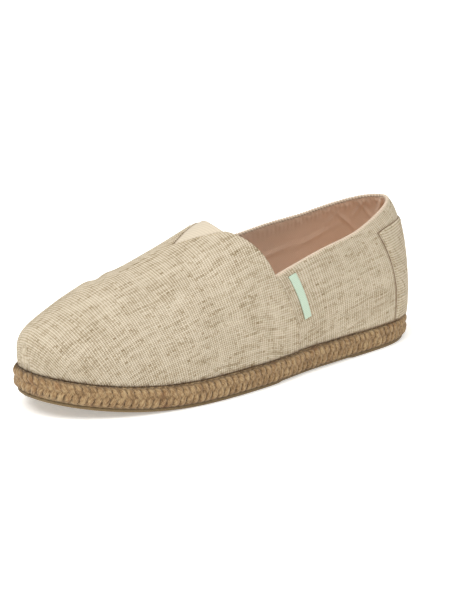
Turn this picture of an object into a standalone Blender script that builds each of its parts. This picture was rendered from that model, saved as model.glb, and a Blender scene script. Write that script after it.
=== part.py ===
"""Slip-on espadrille, left shoe: jute rope sole, canvas upper, elastic gore.

Metres, +Z up. The shoe stands on Z = 0 with its toe towards -Y and its outer side towards +X.
A turn is an angle round the shoe seen from above: 0 at the heel, pi at the toe, outer side between
them; its share is the part of the length from heel (0) to toe (1). A depth is measured inwards
from the outside of the vamp.
"""

import math

import bpy
import numpy as np

# Overall sizes
SOLE_LENGTH = 0.262
BALL_WIDTH = 0.092
INSTEP_RISE = 0.0632      # crest of the last above its widest line, at the throat
BACK_HEIGHT = 0.0652      # canvas above the jute at the back of the heel
BULGE_HEIGHT = 0.0147     # widest line of the heel above the jute

# Sole
RUBBER_THICKNESS = 0.002
RUBBER_INSET = 0.0025
WAIST_RECESS = 0.0007     # hollow under the arch, between the two rubber pads
HEEL_PAD_END = 0.227      # shares of the length
FOREPART_PAD_START = 0.46
PAD_STEP = 0.012
JUTE_THICKNESS = 0.0123
TOE_SPRING = 0.0112
SPRING_START = 0.66
EDGE_ROUND = 0.0010       # rounding of the jute's upper and lower edge
PLAIT_PITCH = 0.0043      # one strand of the plait along the edge
PLAIT_RELIEF = 0.00045
PLAIT_SLANT = 1.0         # how far the strands lean, in pitches

# Upper
CANVAS = 0.0018           # canvas and lining together
LAP = 0.0008              # the vamp stands this far over the quarters
HEEL_OVERHANG = 0.0004    # canvas beyond the jute at the back
TOE_LEDGE = 0.0023        # jute beyond the canvas round the toe
TUCK = 0.0010             # the canvas draws in this far down to the jute
SEAM_SHARE = 0.443        # top of the seam between vamp and quarter
SEAM_LEAN = 0.040         # the seam's foot lies this share nearer the heel
SEAM_REACH = 0.12
THROAT_SHARE = 0.510
MEDIAL_LIFT = 0.0027      # the inner side's topline is this much higher
MEDIAL_LIFT_FULL = 0.14   # share by which it has risen so far

# Elastic gore, heel patch, tag, insole
GORE_LENGTH = 0.028
GORE_WIDTH = 0.0292
GORE_THICKNESS = 0.0010
GORE_DROP = 0.0003        # below the outside of the vamp
GORE_CROWN = 0.0015       # the top edge bows towards the ankle
GORE_TIP = 0.08           # share of its length left off at the point
PATCH_SHARE = 0.092
PATCH_THICKNESS = 0.0008
PATCH_BELOW_TOPLINE = 0.0105
TAG_WIDTH = 0.0065
TAG_LENGTH = 0.026
TAG_THICKNESS = 0.0007
TAG_FROM_SEAM = 0.0115
TAG_BELOW_TOPLINE = 0.0035
INSOLE_THICKNESS = 0.003
INSOLE_CLEARANCE = 0.0008

GAP = 0.0003              # between pieces that touch
GORE_GAP = 0.0004         # beside the gore, whose edge crosses the columns of the vamp

# Mesh columns and rows
PATCH_COLUMNS = 7         # on each side of the heel, behind the patch
QUARTER_COLUMNS = 10      # on each side, between patch and seam
VAMP_COLUMNS = 14         # on each side, ahead of the gore
GORE_COLUMNS = 4
SOLE_STATIONS = 37
INSOLE_STATIONS = 29
FINE_STATIONS = 2001      # for measuring along a curve
SKIRT_ROWS = 2            # below the widest line
WALL_ROWS = 6             # from there to the topline
TOP_ROWS = 8              # of the vamp, above the level of the topline
TAG_ROWS = 5
GORE_ROWS = 6
HALVINGS = 30             # when an angle over the last is looked for

# Colours, linear
RUBBER_COLOUR = (0.06, 0.045, 0.035)
JUTE_COLOUR = (0.33, 0.20, 0.10)
FOOTBED_COLOUR = (0.42, 0.24, 0.14)
CANVAS_COLOUR = (0.62, 0.50, 0.34)
ELASTIC_COLOUR = (0.86, 0.76, 0.60)
TAG_COLOUR = (0.60, 0.68, 0.56)

# Outline of the sole seen from above
OUTLINE = (
    # share, centre line / length, half width / ball width
    (0.00, 0.000, 0.700),
    (0.15, 0.003, 0.494),
    (0.32, 0.005, 0.419),
    (0.50, 0.003, 0.473),
    (0.66, -0.003, 0.527),
    (0.80, -0.013, 0.571),
    (0.92, -0.021, 0.604),
    (1.00, -0.023, 0.628),
)

# Last above its widest line
LAST = (
    # share, crest / instep rise, roundness across, roundness at the end, crest off centre / half width,
    # widest line / bulge height
    (0.00, 1.043, 1.80, 5.5, 0.000, 1.00),
    (0.16, 1.035, 1.80, 6.2, 0.000, 0.87),
    (0.34, 1.128, 2.00, 7.0, 0.000, 0.74),
    (0.515, 1.000, 2.08, 7.0, -0.073, 0.68),
    (0.62, 0.881, 1.86, 6.0, -0.073, 0.61),
    (0.72, 0.733, 1.86, 5.1, -0.073, 0.62),
    (0.82, 0.625, 1.86, 4.2, -0.058, 0.63),
    (0.92, 0.452, 1.86, 3.8, -0.044, 0.63),
    (1.00, 0.337, 1.86, 3.8, 0.000, 0.64),
)
CREST, ACROSS, AT_END, OFF_CENTRE, WIDEST = range(1, 6)

# Edge of the collar on the outer side
TOPLINE = (
    # share, height above the jute / back height
    (0.00, 1.000),
    (0.14, 0.879),
    (0.28, 0.813),
    (0.36, 0.761),
    (0.45, 0.699),
    (0.60, 0.534),
)

# Where the line over the canvas from a point of the edge meets the crest
CREST_MEETS = (
    # share on the edge, share on the crest
    (0.0, 0.14),
    (SEAM_SHARE, 0.56),
    (1.0, 0.86),
)


def curve(table, column, at):
    """Smooth curve through one column of a table: cubic spans with central slopes."""
    rows = np.array(table, float)
    knots, values = rows[:, 0], rows[:, column]
    slopes = np.gradient(values, knots)
    span = np.clip(np.searchsorted(knots, at, side="right") - 1, 0, len(knots) - 2)
    width = knots[span + 1] - knots[span]
    q = (at - knots[span]) / width
    start = (1 + 2 * q) * (1 - q) ** 2 * values[span] + q * (1 - q) ** 2 * width * slopes[span]
    end = q * q * (3 - 2 * q) * values[span + 1] + q * q * (q - 1) * width * slopes[span + 1]
    return start + end


def smooth(q):
    """0 to 1 with level ends."""
    q = np.clip(q, 0.0, 1.0)
    return q * q * (3 - 2 * q)


def share(turn):
    return (1 - np.cos(turn)) / 2


def turn_at(at, side):
    """Turn at a share of the length; side is 1 outside, -1 inside."""
    return side * np.arccos(1 - 2 * np.clip(at, 0.0, 1.0))


def spring(y):
    """Rise of the sole towards the toe."""
    q = (0.5 - y / SOLE_LENGTH - SPRING_START) / (1 - SPRING_START)
    return TOE_SPRING * np.maximum(q, 0.0) ** 2


def jute_top(y):
    return RUBBER_THICKNESS + JUTE_THICKNESS + spring(y)


def sole_edge(turn, inset):
    """Edge of the sole in plan, moved in by an inset."""
    at = share(turn)
    half = BALL_WIDTH * curve(OUTLINE, 2, at) - inset
    x = SOLE_LENGTH * curve(OUTLINE, 1, at) + np.sin(turn) * half
    return x, (SOLE_LENGTH / 2 - inset) * np.cos(turn)


def last_reach(depth):
    """Half length of the last at its widest line."""
    return (SOLE_LENGTH + HEEL_OVERHANG - TOE_LEDGE) / 2 - depth


def last_half(at, depth):
    """Half width of the last at its widest line."""
    ledge = -HEEL_OVERHANG + (HEEL_OVERHANG + TOE_LEDGE) * smooth(2 * at)
    return BALL_WIDTH * curve(OUTLINE, 2, at) - ledge - depth


LAST_CENTRE = (HEEL_OVERHANG + TOE_LEDGE) / 2


def last_edge(turn, depth):
    """Widest line of the last in plan."""
    at = share(turn)
    x = SOLE_LENGTH * curve(OUTLINE, 1, at) + np.sin(turn) * last_half(at, depth)
    return x, LAST_CENTRE + last_reach(depth) * np.cos(turn)


def crest_x(at):
    """Crest line of the last in plan."""
    across = np.sin(turn_at(at, 1)) * last_half(at, 0.0)
    return SOLE_LENGTH * curve(OUTLINE, 1, at) + across * curve(LAST, OFF_CENTRE, at)


def crest_y(at):
    return LAST_CENTRE + last_reach(0.0) * (1 - 2 * at)


def last_height(x, y, depth):
    """Height of the last over a place in plan: a rounded arch across, closed at both ends."""
    along = np.clip((y - LAST_CENTRE) / last_reach(depth), -1.0, 1.0)
    at = (1 - along) / 2
    half = np.sqrt(np.maximum(1 - along ** 2, 1e-12)) * last_half(at, depth)
    across = np.clip((x - SOLE_LENGTH * curve(OUTLINE, 1, at)) / half, -1.0, 1.0)
    middle = curve(LAST, OFF_CENTRE, at)
    to_edge = np.where(across > middle, 1 - middle, 1 + middle)
    from_crest = np.clip(np.abs(across - middle) / to_edge, 0.0, 1.0)
    power, end_power = curve(LAST, ACROSS, at), curve(LAST, AT_END, at)
    closing = (1 - np.abs(along) ** end_power) ** (1 / end_power)
    crest = (INSTEP_RISE * curve(LAST, CREST, at) - depth) * closing
    arch = (1 - from_crest ** power) ** (1 / power)
    return jute_top(y) + BULGE_HEIGHT * curve(LAST, WIDEST, at) + crest * arch


def over_last(turn, angle, depth):
    """Point on the last: angle 0 at the widest line, pi / 2 on the crest."""
    meets = curve(CREST_MEETS, 1, share(turn))
    edge_x, edge_y = last_edge(turn, depth)
    x = crest_x(meets) + (edge_x - crest_x(meets)) * np.cos(angle)
    y = crest_y(meets) + (edge_y - crest_y(meets)) * np.cos(angle)
    return np.stack([x, y, last_height(x, y, depth)], -1)


def under_bulge(turn, drop, depth):
    """Point below the widest line, drawn in towards the jute; drop runs from 0 to 1."""
    x, y = last_edge(turn, depth + TUCK * (1 - np.cos(drop * math.pi / 2)))
    foot = jute_top(y) + GAP
    bulge = jute_top(y) + BULGE_HEIGHT * curve(LAST, WIDEST, share(turn))
    return np.stack([x, y, bulge - (bulge - foot) * np.sin(drop * math.pi / 2)], -1)


def first_angle(reached, turn):
    """Smallest angle over the last, for each turn, at which reached(angle) is true."""
    low, high = np.zeros_like(turn), np.full_like(turn, math.pi / 2)
    for _ in range(HALVINGS):
        middle = (low + high) / 2
        there = reached(middle)
        low, high = np.where(there, low, middle), np.where(there, middle, high)
    return high


def topline_angle(turn, below=0.0):
    """Angle over the last at which the collar's edge lies, or a line below it."""
    at = np.minimum(share(turn), SEAM_SHARE)
    lift = np.where(np.sin(turn) < 0, MEDIAL_LIFT * smooth(at / MEDIAL_LIFT_FULL), 0.0)
    height = RUBBER_THICKNESS + JUTE_THICKNESS + BACK_HEIGHT * curve(TOPLINE, 1, at) + lift - below
    on_quarter = turn_at(at, np.where(np.sin(turn) < 0, -1, 1))
    return first_angle(lambda angle: over_last(on_quarter, angle, LAP)[..., 2] > height, turn)


def leaned(turn, rise):
    """Turn moved along so that the seam's foot lies nearer the heel; rise is 1 at the topline."""
    at = share(turn)
    moved = at - SEAM_LEAN * (1 - rise) * np.exp(-((at - SEAM_SHARE) / SEAM_REACH) ** 2)
    return turn_at(moved, np.where(np.sin(turn) < 0, -1, 1))


def wall_rows(turn, top_angle, depth):
    """Rows from the foot of the canvas up to an angle over the last, one column for each turn."""
    foot_turn = leaned(turn, 0.0)
    rows = [under_bulge(foot_turn, drop, depth) for drop in np.linspace(1.0, 0.0, SKIRT_ROWS + 1)[:-1]]
    for rise in np.linspace(0.0, 1.0, WALL_ROWS + 1):
        rows.append(over_last(leaned(turn, rise), rise * top_angle, depth))
    return rows


NOTCH_POINT = SOLE_LENGTH * (0.5 - THROAT_SHARE) - GORE_LENGTH
NOTCH_POINT_SHARE = (1 - (NOTCH_POINT - LAST_CENTRE) / last_reach(0.0)) / 2
NOTCH_X = float(crest_x(np.array(NOTCH_POINT_SHARE)))


def notch_half(y):
    """Half width of the notch for the gore."""
    return np.maximum(y - NOTCH_POINT, 0.0) * GORE_WIDTH / 2 / GORE_LENGTH


def notch_angle(turn, depth):
    """Angle over the last at which the notch's edge lies."""
    def inside(angle):
        point = over_last(turn, angle, depth)
        return np.abs(point[..., 0] - NOTCH_X) < notch_half(point[..., 1])
    return first_angle(inside, turn)


def shell(outer, inner, faces):
    """Closed wall between two like skins: both skins and a strip along each free edge."""
    count = len(outer)
    edges = {pair for face in faces for pair in zip(face, face[1:] + face[:1])}
    free = sorted(pair for pair in edges if pair[::-1] not in edges)
    strips = [(b, a, a + count, b + count) for a, b in free]
    backs = [tuple(i + count for i in reversed(face)) for face in faces]
    return np.concatenate([outer, inner]), faces + backs + strips


def grid_faces(numbers):
    """Quads over an array of point numbers, columns first; they face away from the last."""
    corners = (numbers[:-1, :-1], numbers[:-1, 1:], numbers[1:, 1:], numbers[1:, :-1])
    return [tuple(map(int, face)) for face in np.stack(corners, -1).reshape(-1, 4)]


def rungs(count):
    """Faces across a closed ring of 2 * count points, seen from above."""
    faces = [(0, 2 * count - 1, 1)]
    faces += [(i, 2 * count - i, 2 * count - i - 1, i + 1) for i in range(1, count - 1)]
    return faces + [(count - 1, count + 1, count)]


def make(name, points, faces, colour, roughness):
    """Object from points and faces, with a Principled material."""
    mesh = bpy.data.meshes.new(name)
    mesh.from_pydata([tuple(map(float, point)) for point in points], [], faces)
    mesh.validate()
    piece = bpy.data.objects.new(name, mesh)
    bpy.context.collection.objects.link(piece)
    material = bpy.data.materials.new(name)
    material.use_nodes = True
    shader = material.node_tree.nodes["Principled BSDF"]
    shader.inputs["Base Color"].default_value = (*colour, 1.0)
    shader.inputs["Roughness"].default_value = roughness
    shader.inputs["Metallic"].default_value = 0.0
    mesh.materials.append(material)
    mesh.shade_smooth()
    mesh.set_sharp_from_angle(angle=math.radians(40))
    return piece


def slab(name, edge, low, high, stations, colour, roughness):
    """Flat piece between two heights, bounded by a plan edge that edge(turn) gives."""
    turns = turn_at(stations, 1)
    ring = np.concatenate([turns, -turns[-2:0:-1]])
    x, y = edge(ring)
    top = np.stack([x, y, high(y)], -1)
    base = np.stack([x, y, low(y)], -1)
    points, faces = shell(top, base, rungs(len(turns) - 1))
    return make(name, points, faces, colour, roughness)


def outsole():
    """Rubber sheet under the jute, hollowed a little between heel pad and forepart."""
    stations = share(np.linspace(0.0, math.pi, SOLE_STATIONS))
    heel_step = [HEEL_PAD_END, HEEL_PAD_END + PAD_STEP]
    forepart_step = [FOREPART_PAD_START - PAD_STEP, FOREPART_PAD_START]
    steps = heel_step + forepart_step + [SPRING_START]
    clear = [at for at in stations if min(abs(at - step) for step in steps) > PAD_STEP / 3]
    stations = np.array(sorted(clear + steps))

    def low(y):
        at = 0.5 - y / SOLE_LENGTH
        behind = np.clip((at - HEEL_PAD_END) / PAD_STEP, 0.0, 1.0)
        ahead = np.clip((FOREPART_PAD_START - at) / PAD_STEP, 0.0, 1.0)
        return spring(y) + WAIST_RECESS * behind * ahead

    slab("outsole_rubber", lambda turn: sole_edge(turn, RUBBER_INSET), low,
         lambda y: RUBBER_THICKNESS - GAP + spring(y), stations, RUBBER_COLOUR, 0.8)


def midsole():
    """Jute rope sole: an edge of plaited strands that lean both ways from the middle."""
    fine = np.linspace(0.0, math.pi, FINE_STATIONS)
    x, y = sole_edge(fine, 0.0)
    run = np.concatenate([[0.0], np.cumsum(np.hypot(np.diff(x), np.diff(y)))])
    strands = round(run[-1] / PLAIT_PITCH)
    count = 2 * strands

    def turn_of(step):
        """Turn at a step along the ring of 2 * count points."""
        step = step % (2 * count)
        near = np.where(step <= count, step, 2 * count - step)
        turn = np.interp(near / count * run[-1], run, fine)
        return np.where(step <= count, turn, -turn)

    steps = np.arange(2 * count)
    crest = 1.0 - 2.0 * (steps % 2)
    profile = (
        # height share, inset, strand relief
        (0.00, EDGE_ROUND, 0.0),
        (0.16, 0.0, 1.0),
        (0.50, -PLAIT_RELIEF / 2, 0.5),
        (0.84, 0.0, 1.0),
        (1.00, EDGE_ROUND, 0.0),
    )
    rings = []
    for height, inset, relief in profile:
        turn = turn_of(steps + 2 * PLAIT_SLANT * (1 - abs(2 * height - 1)))
        x, y = sole_edge(turn, inset + PLAIT_RELIEF * (1 - relief * crest))
        rings.append(np.stack([x, y, RUBBER_THICKNESS + spring(y) + height * JUTE_THICKNESS], -1))
    numbers = np.arange(len(rings) * 2 * count).reshape(len(rings), 2 * count)
    closed = np.concatenate([numbers, numbers[:, :1]], 1).T
    top = [tuple(i + int(numbers[-1, 0]) for i in face) for face in rungs(count)]
    base = [tuple(reversed(face)) for face in rungs(count)]
    make("midsole_jute", np.concatenate(rings), grid_faces(closed) + top + base, JUTE_COLOUR, 0.95)


def insole():
    """Footbed inside the canvas."""
    inset = TUCK + CANVAS + LAP + INSOLE_CLEARANCE
    stations = share(np.linspace(0.0, math.pi, INSOLE_STATIONS))
    slab("insole", lambda turn: last_edge(turn, inset), lambda y: jute_top(y) + GAP,
         lambda y: jute_top(y) + GAP + INSOLE_THICKNESS, stations, FOOTBED_COLOUR, 0.9)


def vamp_turns():
    """Turns of the vamp's columns, from the outer seam round the toe to the inner seam."""
    edge_shares = np.linspace(SEAM_SHARE, 1.0, FINE_STATIONS)
    ahead = np.interp(NOTCH_POINT_SHARE, curve(CREST_MEETS, 1, edge_shares), edge_shares)
    beside = np.linspace(turn_at(SEAM_SHARE, 1), turn_at(ahead, 1), GORE_COLUMNS + 1)
    front = np.linspace(turn_at(ahead, 1), math.pi, VAMP_COLUMNS + 1)
    outer = np.concatenate([beside, front[1:]])
    return np.concatenate([outer, 2 * math.pi - outer[-2::-1]])


def patch_turns():
    end = float(turn_at(PATCH_SHARE, 1))
    return np.linspace(-end, end, 2 * PATCH_COLUMNS + 1)


def quarter_turns():
    """Turns of the quarters' columns, from the inner seam round the heel to the outer seam."""
    behind = patch_turns()
    beside = np.linspace(behind[-1], float(turn_at(SEAM_SHARE, 1)), QUARTER_COLUMNS + 1)[1:]
    return np.concatenate([-beside[::-1], behind, beside])


def vamp_angles(turn, depth):
    """Topline level and top end of each vamp column, as angles over the last."""
    outer, inner = topline_angle(turn[:1]), topline_angle(turn[-1:])
    level = outer + (inner - outer) * np.linspace(0.0, 1.0, len(turn))
    end = np.full_like(turn, math.pi / 2)
    beside = np.r_[0:GORE_COLUMNS, len(turn) - GORE_COLUMNS:len(turn)]
    end[beside] = notch_angle(turn[beside], depth[beside])
    return level, end


def upper():
    """Canvas upper: quarters round the heel and a vamp lapped over them, one hollow wall."""
    quarter, vamp = quarter_turns(), vamp_turns()
    last_column = len(vamp) - 1
    skins = []
    for depth in (0.0, CANVAS):
        vamp_depth = np.full_like(vamp, depth)
        if depth > 0:
            vamp_depth[[0, last_column]] += LAP / 2
        level, end = vamp_angles(vamp, vamp_depth)
        back = np.stack(wall_rows(quarter, topline_angle(quarter), depth + LAP), 1)
        rows = wall_rows(vamp, level, vamp_depth)
        for q in np.linspace(0.0, 1.0, TOP_ROWS + 1)[1:]:
            rows.append(over_last(vamp, level + (end - level) * q, vamp_depth))
        skins.append(np.concatenate([back.reshape(-1, 3), np.stack(rows, 1).reshape(-1, 3)]))
    back_rows = SKIRT_ROWS + WALL_ROWS + 1
    back_numbers = np.arange(len(quarter) * back_rows).reshape(len(quarter), back_rows)
    front_numbers = back_numbers.size + np.arange(len(vamp) * (back_rows + TOP_ROWS)).reshape(len(vamp), -1)
    half = last_column // 2
    for column in range(half + 1, last_column - GORE_COLUMNS + 1):
        front_numbers[column, -1] = front_numbers[last_column - column, -1]
    seams = (
        np.stack([back_numbers[-1], front_numbers[0, :back_rows]]),
        np.stack([front_numbers[-1, :back_rows], back_numbers[0]]),
    )
    faces = grid_faces(back_numbers) + grid_faces(front_numbers)
    faces += [face for seam in seams for face in grid_faces(seam)]
    used = sorted({i for face in faces for i in face})
    renumber = {old: new for new, old in enumerate(used)}
    faces = [tuple(renumber[i] for i in face) for face in faces]
    points, faces = shell(skins[0][used], skins[1][used], faces)
    make("upper", points, faces, CANVAS_COLOUR, 0.9)


def gore():
    """Elastic in the notch, level with the vamp."""
    ends = vamp_turns()[[0, -1]]
    corners = over_last(ends, notch_angle(ends, 0.0), 0.0)
    along = np.linspace(0.0, 1.0 - GORE_TIP, GORE_ROWS + 1)[:, None]
    across = np.linspace(1.0, -1.0, GORE_COLUMNS + 1)[None, :]
    mouth = (corners[0][1] + corners[1][1]) / 2 + across * (corners[0][1] - corners[1][1]) / 2
    mouth = mouth + GORE_CROWN * (1 - across ** 2)
    y = mouth + (NOTCH_POINT - mouth) * along
    side_y = np.where(across > 0, y[:, :1], y[:, -1:])
    x = NOTCH_X + across * (notch_half(side_y) - GORE_GAP) + 0 * along
    skins = [
        np.stack([x, y, last_height(x, y, depth)], -1).reshape(-1, 3)
        for depth in (GORE_DROP, GORE_DROP + GORE_THICKNESS)
    ]
    numbers = np.arange(x.size).reshape(x.shape)
    points, faces = shell(skins[0], skins[1], grid_faces(numbers))
    make("elastic_gore", points, faces, ELASTIC_COLOUR, 0.85)


def patch():
    """Counter patch on the back of the heel, over the quarters."""
    turn = patch_turns()
    top = topline_angle(turn, PATCH_BELOW_TOPLINE)
    skins = [
        np.stack(wall_rows(turn, top, LAP - GAP - thickness), 1).reshape(-1, 3)
        for thickness in (PATCH_THICKNESS, 0.0)
    ]
    numbers = np.arange(len(skins[0])).reshape(len(turn), -1)
    points, faces = shell(skins[0], skins[1], grid_faces(numbers))
    make("heel_patch", points, faces, CANVAS_COLOUR, 0.9)


def tag():
    """Bare fabric tag on the outer quarter, beside the seam."""
    seam_y = crest_y(SEAM_SHARE)
    middle = (1 - (seam_y + TAG_FROM_SEAM - LAST_CENTRE) / last_reach(0.0)) / 2
    width = TAG_WIDTH / 2 / SOLE_LENGTH
    turn = turn_at(np.array([middle - width, middle + width]), 1)
    high = topline_angle(turn, TAG_BELOW_TOPLINE)
    low = topline_angle(turn, TAG_BELOW_TOPLINE + TAG_LENGTH)
    full = topline_angle(turn)
    skins = []
    for thickness in (TAG_THICKNESS, 0.0):
        rows = []
        for q in np.linspace(0.0, 1.0, TAG_ROWS + 1):
            angle = low + (high - low) * q
            rows.append(over_last(leaned(turn, angle / full), angle, LAP - GAP - thickness))
        skins.append(np.stack(rows, 1).reshape(-1, 3))
    numbers = np.arange(len(skins[0])).reshape(2, -1)
    points, faces = shell(skins[0], skins[1], grid_faces(numbers))
    make("side_tag", points, faces, TAG_COLOUR, 0.85)


for old in list(bpy.data.objects):
    bpy.data.objects.remove(old, do_unlink=True)

outsole()
midsole()
insole()
upper()
gore()
patch()
tag()
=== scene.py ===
"""Looks of the left slip-on espadrille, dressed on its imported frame.

Metres, +Z up, toe towards -Y, outer side of the foot towards +X. A turn is an angle round the shoe, seen
from above: 0 at the heel, pi at the toe, the outer side between them. Its share of the length runs from
0 at the heel to 1 at the toe.
"""
import math
from functools import partial

import bmesh
import bpy
import numpy as np
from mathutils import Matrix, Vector


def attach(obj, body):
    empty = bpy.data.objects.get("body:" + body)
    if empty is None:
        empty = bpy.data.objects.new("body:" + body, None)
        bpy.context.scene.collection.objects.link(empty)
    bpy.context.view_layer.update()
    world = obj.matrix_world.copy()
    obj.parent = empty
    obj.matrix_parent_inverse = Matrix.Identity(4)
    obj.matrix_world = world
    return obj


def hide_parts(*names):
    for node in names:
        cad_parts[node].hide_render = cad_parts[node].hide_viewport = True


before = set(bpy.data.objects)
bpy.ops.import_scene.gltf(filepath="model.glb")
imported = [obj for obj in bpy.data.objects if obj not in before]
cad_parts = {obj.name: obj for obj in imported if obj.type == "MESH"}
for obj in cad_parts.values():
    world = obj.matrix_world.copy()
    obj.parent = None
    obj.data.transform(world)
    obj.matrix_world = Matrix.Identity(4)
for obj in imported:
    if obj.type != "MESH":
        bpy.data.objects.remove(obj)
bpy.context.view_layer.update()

# Floor, light and camera
# A plain pale floor under large soft lights, itself lit weakly from below like a light table. The camera
# stands where the photograph's did and is turned and zoomed to the one shoe.
FLOOR_COLOUR = "#FBFAF7"
FLOOR_SIZE = 8.0
FLOOR_GLOW = 0.35              # light from below, which keeps the shadows weak
CAMERA_AZIMUTH = math.radians(52.0)
CAMERA_ELEVATION = math.radians(19.45)
CAMERA_DISTANCE = 1.6
CAMERA_LENS = 169.0
CAMERA_AIM = (0.0, 0.004, 0.040)
NEAREST = 0.05                 # that the camera sees
WORLD_COLOUR = "#FFFFFF"
WORLD_STRENGTH = 0.5
LIGHTS = (
    # azimuth, elevation, distance, size, watts
    (5.0, 58.0, 1.3, 0.9, 13.5),
    (100.0, 48.0, 1.6, 1.2, 8.1),
    (230.0, 60.0, 1.5, 1.0, 3.5),
)


def linear(colour):
    """Linear red, green, blue and alpha of an sRGB hex colour."""
    parts = np.array([int(colour[i:i + 2], 16) for i in (1, 3, 5)]) / 255
    parts = np.where(parts > 0.04045, ((parts + 0.055) / 1.055) ** 2.4, parts / 12.92)
    return (*map(float, parts), 1.0)


def add(tree, kind, inputs=None, **settings):
    """Adds a node with its settings; each input gets a value or a link from a socket. Gives its outputs."""
    node = tree.nodes.new("ShaderNode" + kind)
    for name, value in settings.items():
        setattr(node, name, value)
    for name, value in (inputs or {}).items():
        if isinstance(value, bpy.types.NodeSocket):
            tree.links.new(value, node.inputs[name])
        else:
            node.inputs[name].default_value = value
    return node.outputs


def made(finish_of):
    """Material with the name of a function, which fills it with nodes."""
    material = bpy.data.materials.new(finish_of.__name__)
    material.use_nodes = True
    material.node_tree.nodes.clear()
    finish_of(partial(add, material.node_tree))
    return material


def towards(azimuth, elevation):
    """Direction from the shoe, 1 long; azimuth 0 is the toe's side."""
    return np.array([
        math.sin(azimuth) * math.cos(elevation),
        -math.cos(azimuth) * math.cos(elevation),
        math.sin(elevation),
    ])


def aimed(thing, place):
    """Puts an object in the scene at a place, looking at the shoe."""
    thing.location = place
    thing.rotation_euler = Vector(place - CAMERA_AIM).to_track_quat("Z", "Y").to_euler()
    bpy.context.scene.collection.objects.link(thing)


def pale_light_table(node):
    """Matt pale acrylic, lit from below."""
    place = node("TexCoord")["Object"]
    mottle = node("TexNoise", {"Vector": place, "Scale": 3.0})[0]
    rough = node("MapRange", {0: mottle, 3: 0.75, 4: 0.9})[0]
    colour = linear(FLOOR_COLOUR)
    glow = {"Emission Color": colour, "Emission Strength": FLOOR_GLOW}
    shader = node("BsdfPrincipled", {"Base Color": colour, "Roughness": rough, **glow})
    node("OutputMaterial", {"Surface": shader[0]})


half = FLOOR_SIZE / 2
floor_mesh = bpy.data.meshes.new("floor")
floor_corners = [(-half, -half, 0), (half, -half, 0), (half, half, 0), (-half, half, 0)]
floor_mesh.from_pydata(floor_corners, [], [(0, 1, 2, 3)])
floor_mesh.materials.append(made(pale_light_table))
floor = bpy.data.objects.new("floor", floor_mesh)
bpy.context.scene.collection.objects.link(floor)

camera = bpy.data.objects.new("camera", bpy.data.cameras.new("camera"))
camera.data.lens = CAMERA_LENS
camera.data.clip_start = NEAREST
aimed(camera, CAMERA_DISTANCE * towards(CAMERA_AZIMUTH, CAMERA_ELEVATION))
bpy.context.scene.camera = camera

for number, (azimuth, elevation, distance, size, watts) in enumerate(LIGHTS):
    lamp = bpy.data.lights.new(f"softbox_{number}", "AREA")
    lamp.size = size
    lamp.energy = watts
    lamp_place = distance * towards(math.radians(azimuth), math.radians(elevation))
    aimed(bpy.data.objects.new(lamp.name, lamp), lamp_place)

world = bpy.data.worlds.new("studio")
world.use_nodes = True
world.node_tree.nodes.clear()
sky = add(world.node_tree, "Background", {"Color": linear(WORLD_COLOUR), "Strength": WORLD_STRENGTH})[0]
add(world.node_tree, "OutputWorld", {"Surface": sky})
bpy.context.scene.world = world
bpy.context.scene.view_settings.view_transform = "Standard"

# Rubber outsole
# A thin sheet of brown rubber, vulcanised under the jute and set in from its edge. It stands on a heel
# pad and on the forepart, and the sheet between them clears the floor.
SOLE_LENGTH = 0.262
BALL_WIDTH = 0.092
RUBBER_THICKNESS = 0.002
RUBBER_INSET = 0.0025
WAIST_RECESS = 0.0007
HEEL_PAD_END = 0.227           # share of the length, as the next two
FOREPART_PAD_START = 0.46
PAD_STEP = 0.012
TOE_SPRING = 0.0112
SPRING_START = 0.66            # share of the length
RUBBER_EDGE = 0.0005           # rounding of its edge
RIB_PITCH = 0.00515            # ribs across the tread
BAND = math.pi / 10            # length of one band of a wave texture of scale 1
SOLE_STEPS = 360               # columns round the sole
WELD = 2e-6                    # points closer than this are one
OUTLINE = (
    # share, centre line / length, half width / ball width
    (0.00, 0.000, 0.700),
    (0.15, 0.003, 0.494),
    (0.32, 0.005, 0.419),
    (0.50, 0.003, 0.473),
    (0.66, -0.003, 0.527),
    (0.80, -0.013, 0.571),
    (0.92, -0.021, 0.604),
    (1.00, -0.023, 0.628),
)


def curve(table, column, at):
    """Smooth curve through one column of a table: cubic spans with central slopes."""
    rows = np.array(table, float)
    knots, values = rows[:, 0], rows[:, column]
    slopes = np.gradient(values, knots)
    span = np.clip(np.searchsorted(knots, at, side="right") - 1, 0, len(knots) - 2)
    width = knots[span + 1] - knots[span]
    q = (at - knots[span]) / width
    start = (1 + 2 * q) * (1 - q) ** 2 * values[span] + q * (1 - q) ** 2 * width * slopes[span]
    end = q * q * (3 - 2 * q) * values[span + 1] + q * q * (q - 1) * width * slopes[span + 1]
    return start + end


def share(turn):
    """Share of the length at a turn: half of one minus its cosine."""
    return (1 - np.cos(turn)) / 2


def spring(y):
    """Rise of the sole towards the toe: the square of the way past the ball."""
    q = (0.5 - y / SOLE_LENGTH - SPRING_START) / (1 - SPRING_START)
    return TOE_SPRING * np.maximum(q, 0.0) ** 2


def sole_edge(turn, inset):
    """Edge of the sole in plan: a half width swung round the centre line, less an inset."""
    at = share(turn)
    side = np.sin(turn) * (BALL_WIDTH * curve(OUTLINE, 2, at) - inset)
    return SOLE_LENGTH * curve(OUTLINE, 1, at) + side, (SOLE_LENGTH / 2 - inset) * np.cos(turn)


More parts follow.
